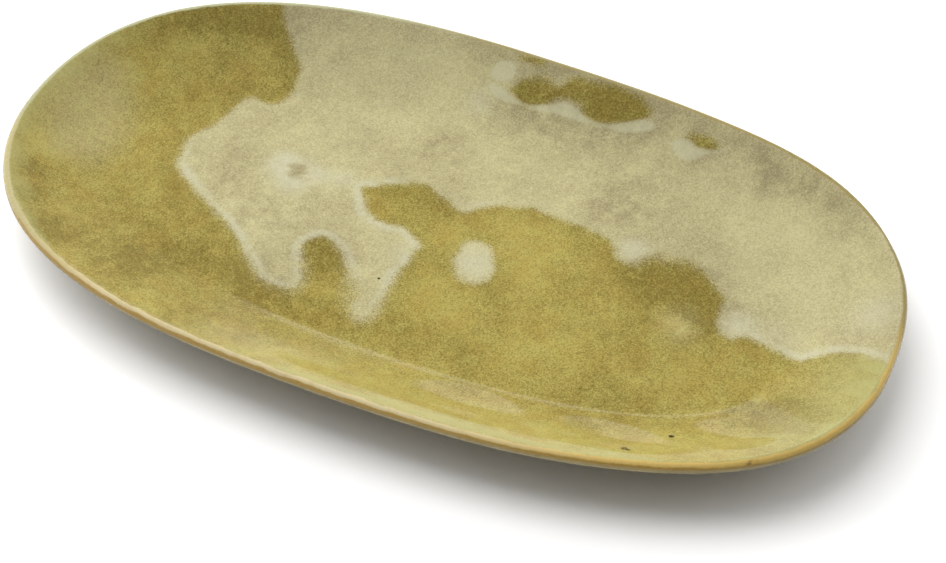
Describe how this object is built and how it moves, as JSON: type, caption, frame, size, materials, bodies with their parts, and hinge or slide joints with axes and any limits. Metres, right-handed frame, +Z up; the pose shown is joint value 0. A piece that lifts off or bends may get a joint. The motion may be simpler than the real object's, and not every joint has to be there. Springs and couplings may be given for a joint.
{
  "type": "oval serving plate",
  "caption": "Shallow oval stoneware serving plate with a curved wall, rounded rim and foot ring, in olive glaze with pale poured splashes.",
  "frame": {"origin": "middle of the plate's outline, on the plane that its foot stands on", "axes": "+X along the length, +Y across the width, +Z up"},
  "size_m": [0.3506, 0.198, 0.027],
  "materials": {
    "bare_clay": "unglazed fired stoneware, matt",
    "olive_glaze": "glossy speckled olive glaze",
    "grey_green_glaze": "glossy grey green glaze",
    "tan_wash": "thin tan iron wash, satin",
    "pale_glaze": "glossy pale poured glaze",
    "thin_pale_glaze": "glossy thin pale glaze"
  },
  "bodies": {
    "root": {"stoneware_body": "bare_clay", "foot_ring": "bare_clay", "inside_glaze": "olive_glaze", "outside_glaze": "grey_green_glaze", "base_glaze": "grey_green_glaze", "rim_wash": "tan_wash", "pale_pour": "pale_glaze", "pale_drop_middle": "pale_glaze", "pale_drop_right": "thin_pale_glaze", "pale_wash_left": "thin_pale_glaze"}
  },
  "joints": []
}
